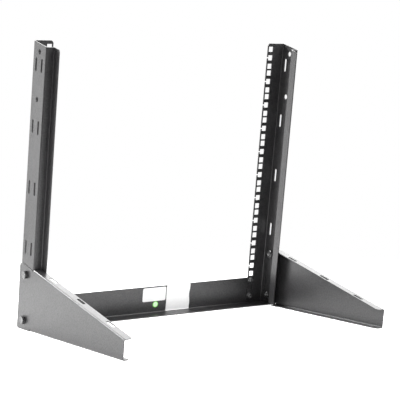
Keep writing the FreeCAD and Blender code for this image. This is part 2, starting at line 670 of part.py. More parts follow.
# The bar's flat wall starts above its inner bend.
flat_start = (f"((Sizes.bar_wall - {POST_RISE}) / cos(Sizes.lean)"
              " + Sizes.bend_radius / tan((90 - Sizes.lean) / 2))")
tall_bottom = f"({flat_start} + Sizes.tall_label_margin)"
nodes.append(make_label("label_tall", "Sizes.tall_label_left", tall_bottom,
                        "Sizes.tall_label_width",
                        f"(Sizes.bar_height - Sizes.tall_label_margin - {tall_bottom})",
                        "Sizes.tall_label_corner"))
nodes.append(make_round_label("label_round"))

doc.recompute()
for item in doc.Objects:
    if "Invalid" in item.State or "Error" in item.State:
        raise ValueError(f"{item.Name} failed: {item.State}")
os.makedirs("parts", exist_ok=True)
for node in nodes:
    shape = node.Shape
    if shape.isNull() or not shape.isValid() or len(shape.Solids) != 1:
        raise ValueError(f"{node.Label} is not one sound solid")
for node in nodes:
    node.Shape.exportStep(f"parts/{node.Label}.step")
print(f"{len(nodes)} pieces written")
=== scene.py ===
import math

import bmesh
import bpy
from bpy.props import FloatProperty, FloatVectorProperty, IntProperty, PointerProperty
from mathutils import Matrix, Vector


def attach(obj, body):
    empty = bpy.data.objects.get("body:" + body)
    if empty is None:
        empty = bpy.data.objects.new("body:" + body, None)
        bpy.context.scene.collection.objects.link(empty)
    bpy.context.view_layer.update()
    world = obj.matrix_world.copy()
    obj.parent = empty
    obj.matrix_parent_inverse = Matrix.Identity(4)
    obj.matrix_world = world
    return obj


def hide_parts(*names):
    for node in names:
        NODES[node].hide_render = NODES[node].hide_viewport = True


# Open desktop rack with leaning posts: coated sheet metal, dark fasteners and blank stickers.
bl_info = {
    "name": "Desktop rack",
    "version": (1, 0, 0),
    "blender": (4, 5, 0),
    "location": "View3D > Sidebar > Rack",
    "description": "Finishes the sheet metal, fasteners and stickers of a leaning desktop rack",
    "category": "Add Mesh",
}

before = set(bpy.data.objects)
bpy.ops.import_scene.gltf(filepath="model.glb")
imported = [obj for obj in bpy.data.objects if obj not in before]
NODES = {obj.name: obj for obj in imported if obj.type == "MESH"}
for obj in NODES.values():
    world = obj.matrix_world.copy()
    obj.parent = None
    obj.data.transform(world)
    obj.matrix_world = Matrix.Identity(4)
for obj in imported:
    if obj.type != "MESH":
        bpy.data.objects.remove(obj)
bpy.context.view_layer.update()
BODY = "root"
MM = 0.001

# Directions of the leaning posts: across the rack, towards the feet, and up the posts.
LEAN = math.radians(8.0)
ACROSS = Vector((1.0, 0.0, 0.0))
NEAR = Vector((0.0, -math.cos(LEAN), -math.sin(LEAN)))
UP = Vector((0.0, -math.sin(LEAN), math.cos(LEAN)))

SHEET_PIECES = ("post_left", "post_right", "crossbar", "foot_left", "foot_right")

# Sides of the rack with their way inwards along X, and levels of the fasteners.
SIDES = (("left", 1.0), ("right", -1.0))
LEVELS = ("lower", "upper")

# Sheet metal: distance within which vertices merge, angle up to which faces are one flat face,
# angle from which an edge is rounded, and how deep a notch's cutter goes through the wall.
MERGE_DISTANCE = 0.001 * MM
FLAT_ANGLE = math.radians(0.4)
CUT_ANGLE = math.radians(40.0)
NOTCH_DEPTH = 6.0 * MM

# Fasteners: angle from which an edge is sharp, bevel of a hexagon's corners, width of its round
# flat as a share of its own, how far a shank lies inside and a bore outside the thread's radius,
# depth of a thread as a share of its pitch, the stretch of thread before each kind of nut, the
# chamfer of each kind of tip, and the largest random turns about the axis.
SHARP_ANGLE = math.radians(30.0)
HEXAGON_BEVEL = math.radians(30.0)
FLAT_SHARE = 0.94
THREAD_PLAY = 0.1 * MM
THREAD_SHARE = 0.6
FOOT_THREAD_LEAD = 1.2 * MM
RAIL_THREAD_LEAD = 1.0 * MM
FOOT_TIP = 0.8 * MM
RAIL_TIP = 0.7 * MM
FOOT_NUT_TURN = 0.12
RAIL_TURN = 0.5

# Stickers: radius of the bar's inner bend, and angle from which a sticker's edge is sharp.
BAR_BEND = 1.5 * MM
SHEET_ANGLE = math.radians(50.0)

# Softboxes, in metres: name, place, aim and size.
SOFTBOXES = (
    ("side_light", (-2.1, 2.1, 0.12), (-0.1, 0.0, 0.05), (2.0, 0.9)),
    ("back_light", (1.05, 1.6, 1.4), (0.0, -0.05, 0.05), (2.2, 1.6)),
    ("top_light", (-1.1, 1.48, 1.52), (-0.1, 0.0, 0.0), (1.4, 0.6)),
    ("front_light", (1.3, -1.5, 1.9), (0.0, 0.0, 0.15), (1.8, 1.4)),
)

# Floor, in metres: its radius, the middle of its pale patch, and where that starts and ends to
# fade. Horizon: heights of a ray's direction between which the dim room turns to white.
FLOOR_RADIUS = 3.0
PATCH_MIDDLE = (-0.2, -0.1, 0.0)
PATCH_FADE = (0.5, 1.3)
HORIZON = (-0.12, 0.02)

# Camera: its place in metres, its turn, tilt and roll in degrees, the sensor's width in mm, and
# the focal length and the picture's width in pixels.
CAMERA_PLACE = (-1.4151, -2.1066, 0.4461)
CAMERA_ANGLES = (33.91, -5.01, 0.07)
SENSOR_WIDTH = 36.0
FOCAL_PIXELS = 1473.0
PICTURE_PIXELS = 400.0


# Places read from the frame

def span(node, direction):
    """Lowest and highest place of a node along a direction."""
    places = [vertex.co.dot(direction) for vertex in NODES[node].data.vertices]
    return min(places), max(places)


def middle(node, direction):
    """Place halfway between a node's ends along a direction."""
    return sum(span(node, direction)) / 2


def start_of(node, axis, others):
    """Point on a turned part's axis where the part starts."""
    point = axis * span(node, axis)[0]
    for other in others:
        point += other * middle(node, other)
    return point


def foot_places(kind):
    """Node, start point and axis of the parts bolted through the feet."""
    found = []
    for side, inwards in SIDES:
        for level in LEVELS:
            node = f"{kind}_{side}_{level}"
            axis = ACROSS * inwards
            found.append((node, start_of(node, axis, (NEAR, UP)), axis))
    return found


def rail_places(kind):
    """Node, start point and axis of the parts bolted through the rails."""
    found = []
    for side, _ in SIDES:
        for level in LEVELS:
            node = f"{kind}_{side}_{level}"
            found.append((node, start_of(node, -NEAR, (ACROSS, UP)), -NEAR))
    return found


# Meshes

def new_object(name, mesh):
    """Object of a mesh, at the origin of the scene."""
    piece = bpy.data.objects.new(name, mesh)
    bpy.context.scene.collection.objects.link(piece)
    return piece


def mesh_from(bm, name, sharp_angle=SHARP_ANGLE):
    """Mesh with outward faces, smooth but for its sharp edges."""
    bmesh.ops.recalc_face_normals(bm, faces=bm.faces)
    mesh = bpy.data.meshes.new(name)
    bm.to_mesh(mesh)
    bm.free()
    mesh.shade_smooth()
    mesh.set_sharp_from_angle(angle=sharp_angle)
    return mesh


def hold(piece, nodes, material=None):
    """Ride with the rack in place of its CAD nodes."""
    if material is not None:
        piece.data.materials.clear()
        piece.data.materials.append(material)
    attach(piece, BODY)
    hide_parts(*nodes)


def turned(name, rings, closed=False, segments=72):
    """Mesh of rings about Z. A radius or height may be a number or follow the angle."""
    bm = bmesh.new()
    loops = []
    for radius, height in rings:
        loop = []
        for step in range(segments):
            angle = 2 * math.pi * step / segments
            reach = radius(angle) if callable(radius) else radius
            level = height(angle) if callable(height) else height
            loop.append(bm.verts.new((reach * math.cos(angle), reach * math.sin(angle), level)))
        loops.append(loop)
    pairs = list(zip(loops, loops[1:]))
    if closed:
        pairs.append((loops[-1], loops[0]))
    else:
        bm.faces.new(loops[0])
        bm.faces.new(loops[-1])
    for lower, upper in pairs:
        for step in range(segments):
            after = (step + 1) % segments
            bm.faces.new((lower[step], lower[after], upper[after], upper[step]))
    return mesh_from(bm, name)


def hexagon(across, corner_share=0.985):
    """Radius of a hexagon by angle, with slightly blunted corners."""
    corner = across / 2 / math.cos(math.pi / 6) * corner_share

    def radius(angle):
        turn = (angle + math.pi / 6) % (math.pi / 3) - math.pi / 6
        return min(across / 2 / math.cos(turn), corner)
    return radius


def bevelled_edge(across, flat, level, sense):
    """Height by angle of a hexagon's side where the bevel of its corners cuts it."""
    side = hexagon(across)

    def height(angle):
        return level + sense * (side(angle) - flat) * math.tan(HEXAGON_BEVEL)
    return height


# Node trees

def shared_tree(name, make):
    """Node tree by name, made by the first piece that needs it."""
    return bpy.data.node_groups.get(name) or make(name)


def tree_socket(tree, name, kind, in_out="INPUT", default=None, description=""):
    """Named input or output of a tree."""
    socket = tree.interface.new_socket(name=name, in_out=in_out, socket_type=kind)
    socket.description = description
    if default is not None:
        socket.default_value = default
    return socket


def add_node(tree, kind, inputs=(), **settings):
    """Node with its settings, and its inputs set or linked by name or number."""
    node = tree.nodes.new(kind)
    for key, value in settings.items():
        setattr(node, key, value)
    for key, value in dict(inputs).items():
        if isinstance(value, bpy.types.NodeSocket):
            tree.links.new(value, node.inputs[key])
        else:
            node.inputs[key].default_value = value
    return node


def sums(tree, operation, *values):
    """Result of one Math node."""
    return add_node(tree, "ShaderNodeMath", dict(enumerate(values)),
                    operation=operation).outputs[0]


def part_rotation(tree, spread, seed):
    """Rotation that lays Z on the points' axis, with a small random turn about it."""
    axis = add_node(tree, "GeometryNodeInputNamedAttribute", {"Name": "axis"},
                    data_type="FLOAT_VECTOR")
    laid = add_node(tree, "FunctionNodeAlignRotationToVector",
                    {"Vector": axis.outputs["Attribute"]}, axis="Z")
    low = sums(tree, "MULTIPLY", spread, -1.0)
    turn = add_node(tree, "FunctionNodeRandomValue", data_type="FLOAT")
    open_sockets = {socket.name: socket for socket in turn.inputs if socket.enabled}
    tree.links.new(low, open_sockets["Min"])
    tree.links.new(spread, open_sockets["Max"])
    tree.links.new(seed, open_sockets["Seed"])
    value = [socket for socket in turn.outputs if socket.enabled][0]
    spin = add_node(tree, "FunctionNodeAxisAngleToRotation",
                    {"Axis": (0.0, 0.0, 1.0), "Angle": value})
    both = add_node(tree, "FunctionNodeRotateRotation",
                    {"Rotation": laid.outputs[0], "Rotate By": spin.outputs[0]},
                    rotation_space="LOCAL")
    return both.outputs[0]


def finish_tree(tree, geometry, material):
    """Every tree ends as plain geometry with its material."""
    real = add_node(tree, "GeometryNodeRealizeInstances", {"Geometry": geometry})
    painted = add_node(tree, "GeometryNodeSetMaterial",
                       {"Geometry": real.outputs[0], "Material": material})
    add_node(tree, "NodeGroupOutput", {"Geometry": painted.outputs[0]})


def part_inputs(tree):
    """Inputs of the trees that set fasteners: points with an axis, and what stands on them."""
    tree_socket(tree, "Geometry", "NodeSocketGeometry")
    tree_socket(tree, "Part", "NodeSocketObject", description="Plain part of the fastener")
    tree_socket(tree, "Turn Spread", "NodeSocketFloat", default=0.3,
                description="Largest random turn about the axis")
    tree_socket(tree, "Seed", "NodeSocketInt", default=7)
    tree_socket(tree, "Material", "NodeSocketMaterial")


def plain_part_tree(name):
    """Nuts and washers set on points."""
    tree = bpy.data.node_groups.new(name, "GeometryNodeTree")
    part_inputs(tree)
    tree_socket(tree, "Geometry", "NodeSocketGeometry", in_out="OUTPUT")
    given = add_node(tree, "NodeGroupInput").outputs
    part = add_node(tree, "GeometryNodeObjectInfo", {"Object": given["Part"]})
    placed = add_node(tree, "GeometryNodeInstanceOnPoints", {
        "Points": given["Geometry"], "Instance": part.outputs["Geometry"],
        "Rotation": part_rotation(tree, given["Turn Spread"], given["Seed"])})
    finish_tree(tree, placed.outputs[0], given["Material"])
    return tree


def threaded_part_tree(name):
    """Bolts set on points, with a helical thread cut into the far end of their shank."""
    tree = bpy.data.node_groups.new(name, "GeometryNodeTree")
    part_inputs(tree)
    for length_name, default in (("Thread Diameter", 8.0), ("Thread Pitch", 1.25),
                                 ("Thread Depth", 0.65), ("Thread Length", 5.0),
                                 ("Rod Length", 10.5), ("Tip Chamfer", 0.6)):
        socket = tree_socket(tree, length_name, "NodeSocketFloat", default=default * MM)
        socket.subtype = "DISTANCE"
    tree_socket(tree, "Geometry", "NodeSocketGeometry", in_out="OUTPUT")
    given = add_node(tree, "NodeGroupInput").outputs
    sides, rings_per_turn = 48, 10.0
    rings = sums(tree, "CEIL", sums(tree, "MULTIPLY", rings_per_turn, sums(
        tree, "DIVIDE", given["Thread Length"], given["Thread Pitch"])))
    radius = sums(tree, "DIVIDE", given["Thread Diameter"], 2.0)
    blank = add_node(tree, "GeometryNodeMeshCylinder", {
        "Vertices": sides, "Side Segments": rings, "Radius": radius,
        "Depth": given["Thread Length"]})
    lift = sums(tree, "SUBTRACT", given["Rod Length"],
                sums(tree, "DIVIDE", given["Thread Length"], 2.0))
    offset = add_node(tree, "ShaderNodeCombineXYZ", {"Z": lift})
    raised = add_node(tree, "GeometryNodeSetPosition", {
        "Geometry": blank.outputs["Mesh"], "Offset": offset.outputs[0]})

    place = add_node(tree, "ShaderNodeSeparateXYZ", {
        0: add_node(tree, "GeometryNodeInputPosition").outputs[0]}).outputs
    round_share = sums(tree, "DIVIDE", sums(tree, "ARCTAN2", place["Y"], place["X"]), math.tau)
    climb = sums(tree, "SUBTRACT", sums(tree, "DIVIDE", place["Z"], given["Thread Pitch"]),
                 round_share)
    ridge = sums(tree, "ABSOLUTE", sums(
        tree, "MULTIPLY_ADD", sums(tree, "FRACT", climb), 2.0, -1.0))
    groove = sums(tree, "MULTIPLY", given["Thread Depth"], ridge)
    past = sums(tree, "SUBTRACT", place["Z"],
                sums(tree, "SUBTRACT", given["Rod Length"], given["Tip Chamfer"]))
    cut = sums(tree, "MAXIMUM", groove, past)
    scale = sums(tree, "DIVIDE", sums(tree, "SUBTRACT", radius, cut), radius)
    rim = sums(tree, "MULTIPLY", place["X"], scale), sums(tree, "MULTIPLY", place["Y"], scale)
    moved = add_node(tree, "ShaderNodeCombineXYZ", {"X": rim[0], "Y": rim[1], "Z": place["Z"]})
    thread = add_node(tree, "GeometryNodeSetPosition", {
        "Geometry": raised.outputs[0], "Position": moved.outputs[0]})

    part = add_node(tree, "GeometryNodeObjectInfo", {"Object": given["Part"]})
    whole = add_node(tree, "GeometryNodeJoinGeometry")
    for geometry in (thread.outputs[0], part.outputs["Geometry"]):
        tree.links.new(geometry, whole.inputs[0])
    placed = add_node(tree, "GeometryNodeInstanceOnPoints", {
        "Points": given["Geometry"], "Instance": whole.outputs[0],
        "Rotation": part_rotation(tree, given["Turn Spread"], given["Seed"])})
    finish_tree(tree, placed.outputs[0], given["Material"])
    return tree


def notch_tree(name):
    """One narrow notch for each rack unit, cut from a rail's free edge into its middle hole."""
    tree = bpy.data.node_groups.new(name, "GeometryNodeTree")
    tree_socket(tree, "Geometry", "NodeSocketGeometry")
    tree_socket(tree, "Units", "NodeSocketInt", default=11)
    tree_socket(tree, "First Notch", "NodeSocketVector",
                description="Middle of the lowest notch")
    tree_socket(tree, "Unit Step", "NodeSocketVector",
                description="From one notch to the next")
    tree_socket(tree, "Notch Size", "NodeSocketVector",
                description="Across the rail, through its wall and along the post")
    tree_socket(tree, "Lean", "NodeSocketVector", description="Turn of the leaning post")
    tree_socket(tree, "Material", "NodeSocketMaterial")
    tree_socket(tree, "Geometry", "NodeSocketGeometry", in_out="OUTPUT")
    given = add_node(tree, "NodeGroupInput").outputs
    line = add_node(tree, "GeometryNodeMeshLine", {
        "Count": given["Units"], "Start Location": given["First Notch"],
        "Offset": given["Unit Step"]})
    block = add_node(tree, "GeometryNodeMeshCube", {"Size": given["Notch Size"]})
    blocks = add_node(tree, "GeometryNodeInstanceOnPoints", {
        "Points": line.outputs["Mesh"], "Instance": block.outputs["Mesh"],
        "Rotation": given["Lean"]})
    solid = add_node(tree, "GeometryNodeRealizeInstances", {"Geometry": blocks.outputs[0]})
    cut = add_node(tree, "GeometryNodeMeshBoolean", {
        "Mesh 1": given["Geometry"], "Mesh 2": solid.outputs[0]}, operation="DIFFERENCE")
    finish_tree(tree, cut.outputs["Mesh"], given["Material"])
    return tree


def put_values(modifier, values):
    """Set a tree's inputs on its modifier, by each socket's identifier."""
    named = {item.name: item.identifier for item in modifier.node_group.interface.items_tree
             if item.item_type == "SOCKET" and item.in_out == "INPUT"}
    for key, value in values.items():
        modifier[named[key]] = value


def set_parts(name, tree, part_mesh, places, material, **values):
    """One plain mesh of every fastener of a kind, in place of their CAD nodes."""
    mesh = bpy.data.meshes.new(f"{name}_points")
    mesh.from_pydata([point for _, point, _ in places], [], [])
    axes = mesh.attributes.new("axis", "FLOAT_VECTOR", "POINT")
    for index, (_, _, axis) in enumerate(places):
        axes.data[index].vector = axis
    holder = new_object(f"{name}_holder", mesh)
    part = new_object(f"{name}_part", part_mesh)
    modifier = holder.modifiers.new("parts", "NODES")
    modifier.node_group = tree
    put_values(modifier, {"Part": part, "Material": material, **values})
    evaluated = holder.evaluated_get(bpy.context.evaluated_depsgraph_get())
    made = bpy.data.meshes.new_from_object(evaluated)
    if not made.polygons:
        raise RuntimeError(f"{name} has no faces")
    holder.modifiers.clear()
    bpy.data.objects.remove(holder)
    bpy.data.objects.remove(part)
    made.name = name
    made.set_sharp_from_angle(angle=SHARP_ANGLE)
    hold(new_object(name, made), [node for node, _, _ in places])


# Materials

def grain_group(name):
    """Fine and broad unevenness of a finish, by Object coordinates."""
    tree = bpy.data.node_groups.new(name, "ShaderNodeTree")
    tree_socket(tree, "Grain Size", "NodeSocketFloat", default=0.7 * MM)
    tree_socket(tree, "Patch Size", "NodeSocketFloat", default=12.0 * MM)
    tree_socket(tree, "Patch Share", "NodeSocketFloat", default=0.3)
    tree_socket(tree, "Height", "NodeSocketFloat", in_out="OUTPUT")
    tree_socket(tree, "Patches", "NodeSocketFloat", in_out="OUTPUT")
    tree_socket(tree, "Mix", "NodeSocketFloat", in_out="OUTPUT")
    given = add_node(tree, "NodeGroupInput").outputs
    place = add_node(tree, "ShaderNodeTexCoord").outputs["Object"]
    fine = add_node(tree, "ShaderNodeTexNoise", {
        "Vector": place, "Scale": sums(tree, "DIVIDE", 1.0, given["Grain Size"]),
        "Detail": 2.0, "Roughness": 0.6}).outputs[0]
    broad = add_node(tree, "ShaderNodeTexNoise", {
        "Vector": place, "Scale": sums(tree, "DIVIDE", 1.0, given["Patch Size"]),
        "Detail": 3.0, "Roughness": 0.55}).outputs[0]
    mixed = add_node(tree, "ShaderNodeMix", {
        "Factor": given["Patch Share"], "A": fine, "B": broad}).outputs[0]
    add_node(tree, "NodeGroupOutput", {"Height": fine, "Patches": broad, "Mix": mixed})
    return tree


def shader_parts(name, **constants):
    """Material with its shader, whose plain sockets are set by name."""
    material = bpy.data.materials.new(name)
    material.use_nodes = True
    tree = material.node_tree
    shader = tree.nodes["Principled BSDF"]
    for key, value in constants.items():
        shader.inputs[key.replace("_", " ")].default_value = value
    return material, tree, shader


def grain_in(tree, grain, patch, share):
    """Masks of the shared unevenness, for a size of grain and patch and the patches' share."""
    return add_node(tree, "ShaderNodeGroup", {
        "Grain Size": grain, "Patch Size": patch, "Patch Share": share},
        node_tree=shared_tree("grain", grain_group)).outputs


def colours_by(tree, mask, low, high, first, second):
    """Colour that goes from first to second as the mask goes from low to high."""
    share = add_node(tree, "ShaderNodeMapRange", {
        "Value": mask, "From Min": low, "From Max": high})
    mix = add_node(tree, "ShaderNodeMix", data_type="RGBA")
    sockets = {socket.identifier: socket for socket in mix.inputs}
    tree.links.new(share.outputs[0], sockets["Factor_Float"])
    sockets["A_Color"].default_value = (*first, 1.0)
    sockets["B_Color"].default_value = (*second, 1.0)
    return [socket for socket in mix.outputs if socket.identifier == "Result_Color"][0]


def level_by(tree, mask, low, high, first, second):
    """Value that goes from first to second as the mask goes from low to high."""
    return add_node(tree, "ShaderNodeMapRange", {
        "Value": mask, "From Min": low, "From Max": high,
        "To Min": first, "To Max": second}).outputs[0]


def bump_from(tree, shader, height, distance):
    """Relief of a finish, as deep as the distance."""
    bump = add_node(tree, "ShaderNodeBump", {"Height": height, "Distance": distance})
    tree.links.new(bump.outputs[0], shader.inputs["Normal"])


def shade(colour, factor):
    """Colour made darker or lighter."""
    return tuple(channel * factor for channel in colour)


def coat_material(settings):
    """Satin powder coat with a fine pebbled skin."""
    material, tree, shader = shader_parts("powder_coat", IOR=1.5,
                                          Specular_IOR_Level=settings.gloss,
                                          Coat_Roughness=0.3)
    grain = grain_in(tree, settings.grain_size, 14.0 * MM, 0.35)
    colour = tuple(settings.colour)
    tree.links.new(colours_by(tree, grain["Mix"], 0.35, 0.65, shade(colour, 0.88),
                              shade(colour, 1.14)), shader.inputs["Base Color"])
    rough, spread = settings.roughness, settings.roughness_spread
    tree.links.new(level_by(tree, grain["Mix"], 0.3, 0.7, rough - spread, rough + spread),
                   shader.inputs["Roughness"])
    tree.links.new(level_by(tree, grain["Height"], 0.35, 0.65, 0.0, settings.sparkle),
                   shader.inputs["Coat Weight"])
    bump_from(tree, shader, grain["Mix"], settings.grain_depth)
    return material


def fastener_material(name, colour):
    """Dark finish over steel, a little worn on its high spots."""
    material, tree, shader = shader_parts(name, IOR=1.5, Specular_IOR_Level=0.95)
    grain = grain_in(tree, 0.35 * MM, 2.5 * MM, 0.6)
    tree.links.new(colours_by(tree, grain["Patches"], 0.4, 0.75, colour, shade(colour, 1.9)),
                   shader.inputs["Base Color"])
    tree.links.new(level_by(tree, grain["Patches"], 0.3, 0.7, 0.17, 0.26),
                   shader.inputs["Roughness"])
    bump_from(tree, shader, grain["Mix"], 0.012 * MM)
    return material


def sticker_material(name, colour, grain, tint, mask, roughness, relief):
    """Film or paper: an even colour, tinted a little where the mask is low."""
    material, tree, shader = shader_parts(name, IOR=1.45)
    uneven = grain_in(tree, *grain)
    colour = tuple(colour)
    tree.links.new(colours_by(tree, uneven[mask], 0.3, 0.7, shade(colour, tint), colour),
                   shader.inputs["Base Color"])
    tree.links.new(level_by(tree, uneven["Patches"], 0.3, 0.7, *roughness),
                   shader.inputs["Roughness"])
    bump_from(tree, shader, uneven["Mix"], relief)
    return material


def film_material(settings):
    """Smooth white film of the small sticker."""
    return sticker_material("white_film", settings.film_colour, (0.5 * MM, 9.0 * MM, 0.7),
                            0.97, "Patches", (0.32, 0.4), 0.02 * MM)


def paper_material(settings):
    """Thin white paper of the tall sticker, with faint fibres and folds."""
    return sticker_material("white_paper", settings.paper_colour, (0.25 * MM, 6.0 * MM, 0.75),
                            0.94, "Mix", (0.5, 0.62), 0.05 * MM)


def dot_material(name, colour):
    """Coloured film of the round sticker."""
    return sticker_material(name, colour, (0.3 * MM, 3.0 * MM, 0.6),
                            0.93, "Patches", (0.3, 0.38), 0.01 * MM)


# Settings

def colour_of(name, description, default):
    """Property for a colour."""
    return FloatVectorProperty(name=name, description=description, subtype="COLOR", size=3,
                               min=0.0, max=1.0, default=default)


def share_of(name, description, default, lowest=0.0):
    """Property for a share from 0 to 1."""
    return FloatProperty(name=name, description=description, subtype="FACTOR", min=lowest,
                         max=1.0, default=default)


def length_of(name, description, default, lowest=0.0):
    """Property for a length."""
    return FloatProperty(name=name, description=description, unit="LENGTH", min=lowest,
                         default=default)


def light_of(name, description, default, **kind):
    """Property for the strength of a light."""
    return FloatProperty(name=name, description=description, min=0.0, default=default, **kind)


class RackCoatSettings(bpy.types.PropertyGroup):
    colour: colour_of("Coat Colour", "Powder coat of the sheet metal", (0.023, 0.0225, 0.0235))
    roughness: share_of("Roughness", "Roughness of the coat", 0.37, 0.05)
    roughness_spread: share_of("Roughness Spread", "How far the roughness wanders", 0.09)
    gloss: share_of("Gloss", "Strength of the coat's reflection", 0.45)
    sparkle: share_of("Sparkle", "Extra gloss on the high spots of the coat's skin", 0.35)
    grain_size: length_of("Grain Size", "Pebbles of the coat's skin", 2.4 * MM, 0.1 * MM)
    grain_depth: length_of("Grain Depth", "Relief of the coat's skin", 0.3 * MM)
    unit_height: length_of("Unit Height", "Height of one rack unit", 44.45 * MM)
    hole_step: length_of("Hole Step", "From a unit's lowest hole to its middle hole",
                         15.875 * MM)
    strip_width: length_of("Strip Width", "Metal between the square holes and the free edge",
                           2.4 * MM)
    notch_width: length_of("Notch Width", "Notch in the free edge at each unit's middle hole",
                           2.2 * MM)
    edge_round: length_of("Edge Rounding", "Width of the coat's rounding on cut edges",
                          0.3 * MM)


class RackFastenerSettings(bpy.types.PropertyGroup):
    colour: colour_of("Fastener Colour", "Black finish of the foot fasteners",
                      (0.03, 0.03, 0.031))
    # Painted sheen: the rails' fasteners get a lighter black than the foot fasteners, so that
    # their heads look brighter, as if catching more light.
    rail_painted_sheen_colour: colour_of("Rail Fastener Colour", "Worn dark finish of the rails' fasteners",
                           (0.05, 0.05, 0.051))
    foot_head_across: length_of("Foot Bolt Hexagon", "Across the flats", 13.0 * MM)
    foot_head_height: length_of("Foot Bolt Head", "Height of the head", 5.3 * MM)
    foot_nut_height: length_of("Foot Nut", "Height of the nut", 5.0 * MM)
    foot_thread: length_of("Foot Thread", "Diameter of the thread", 8.0 * MM)
    foot_pitch: length_of("Foot Thread Pitch", "Rise of one turn", 1.25 * MM, 0.1 * MM)
    rail_head_width: length_of("Rail Bolt Head Width", "Diameter of the round head", 10.5 * MM)
    rail_head_height: length_of("Rail Bolt Head", "Height of the round head", 3.3 * MM)
    rail_key: length_of("Rail Bolt Socket", "Hexagon socket across its flats", 4.0 * MM)
    rail_nut_across: length_of("Rail Nut Hexagon", "Across the flats", 10.0 * MM)
    rail_nut_height: length_of("Rail Nut", "Height of the nut", 5.0 * MM)
    rail_thread: length_of("Rail Thread", "Diameter of the thread", 6.0 * MM)
    rail_pitch: length_of("Rail Thread Pitch", "Rise of one turn", 1.0 * MM, 0.1 * MM)
    washer_width: length_of("Washer", "Diameter of the washer", 13.0 * MM)
    washer_wall: length_of("Washer Thickness", "Thickness of the washer", 1.6 * MM)
    turn_seed: IntProperty(
        name="Turn Seed", description="Seed of the fasteners' random turns", default=4)


class RackStickerSettings(bpy.types.PropertyGroup):
    film_colour: colour_of("Film Colour", "Small sticker", (0.77, 0.77, 0.77))
    paper_colour: colour_of("Paper Colour", "Tall sticker", (0.84, 0.84, 0.84))
    ring_colour: colour_of("Ring Colour", "Rim of the round sticker", (0.22, 0.8, 0.1))
    disc_colour: colour_of("Disc Colour", "Middle of the round sticker", (0.74, 0.93, 0.68))
    film_wall: length_of("Sticker Film", "Thickness of the stickers", 0.14 * MM)
    paper_tail: length_of("Paper Tail", "Length of the tall sticker that turns onto the bend",
                          2.2 * MM)
    paper_wave: length_of("Paper Wave", "How far the tall sticker's sides wander", 0.9 * MM)


class RackStageSettings(bpy.types.PropertyGroup):
    floor_colour: colour_of("Floor Colour", "Plain pale floor", (0.85, 0.85, 0.85))
    floor_glow: light_of("Floor Glow", "White that the floor adds for the eye and in reflections",
                         0.65)
    ambient: light_of("Ambient", "Light from all round", 0.95)
    room: light_of("Room", "Light from below the floor's level", 0.12)
    side_light: light_of("Side Light", "Soft light from behind on the left", 21.0,
                         unit="POWER")
    back_light: light_of("Back Light", "Soft light from above and behind", 50.0, unit="POWER")
    top_light: light_of("Top Light", "Soft light from above on the left", 85.0, unit="POWER")
    front_light: light_of("Front Light", "Soft light from above on the near right", 58.0,
                          unit="POWER")


# Pieces

class RACK_OT_sheet_metal(bpy.types.Operator):
    """Posts, feet and cross bar with a powder coat that rounds their cut edges"""
    bl_idname = "rack.sheet_metal"
    bl_label = "Sheet Metal"

    def execute(self, context):
        settings = context.scene.rack_coat
        material = coat_material(settings)
        for node in SHEET_PIECES:
            piece = bare_copy(node)
            if node.startswith("post"):
                cut_notches(piece, node, settings, material)
            soften(piece, settings.edge_round)
            hold(piece, [node], material)
        return {"FINISHED"}


def bare_copy(node):
    """Copy of a sheet metal node with its loose triangles merged into whole faces."""
    bm = bmesh.new()
    bm.from_mesh(NODES[node].data)
    bmesh.ops.remove_doubles(bm, verts=bm.verts, dist=MERGE_DISTANCE)
    bmesh.ops.dissolve_limit(bm, angle_limit=FLAT_ANGLE, verts=bm.verts, edges=bm.edges)
    bmesh.ops.recalc_face_normals(bm, faces=bm.faces)
    mesh = bpy.data.meshes.new(f"{node}_coated")
    bm.to_mesh(mesh)
    bm.free()
    mesh.shade_smooth()
    return new_object(f"{node}_coated", mesh)


def cut_notches(piece, node, settings, material):
    """Notch the rail's free edge beside the middle hole of every unit."""
    side = node.split("_")[1]
    inwards = ACROSS * dict(SIDES)[side]
    free_edge = span(node, inwards)[1]
    lowest = middle(f"rail_bolt_{side}_lower", UP) + settings.hole_step
    far_face = span(node, NEAR)[0]
    past_edge, into_hole = 1.0 * MM, 0.5 * MM
    into_rail = settings.strip_width + past_edge
    first = (inwards * (free_edge + past_edge - into_rail / 2) + UP * lowest
             + NEAR * far_face)
    modifier = piece.modifiers.new("notches", "NODES")
    modifier.node_group = shared_tree("cut_unit_notches", notch_tree)
    put_values(modifier, {
        "First Notch": first, "Unit Step": UP * settings.unit_height,
        "Notch Size": (into_rail + into_hole, NOTCH_DEPTH, settings.notch_width),
        "Lean": (LEAN, 0.0, 0.0), "Material": material})


def soften(piece, width):
    """Round the cut edges as the coat does, and turn the result into a plain mesh."""
    bevel = piece.modifiers.new("edges", "BEVEL")
    bevel.width = width
    bevel.segments = 2
    bevel.limit_method = "ANGLE"
    bevel.angle_limit = CUT_ANGLE
    bevel.use_clamp_overlap = True
    weighted = piece.modifiers.new("flat_faces", "WEIGHTED_NORMAL")
    weighted.weight = 100
    evaluated = piece.evaluated_get(bpy.context.evaluated_depsgraph_get())
    piece.data = bpy.data.meshes.new_from_object(evaluated)
    piece.modifiers.clear()


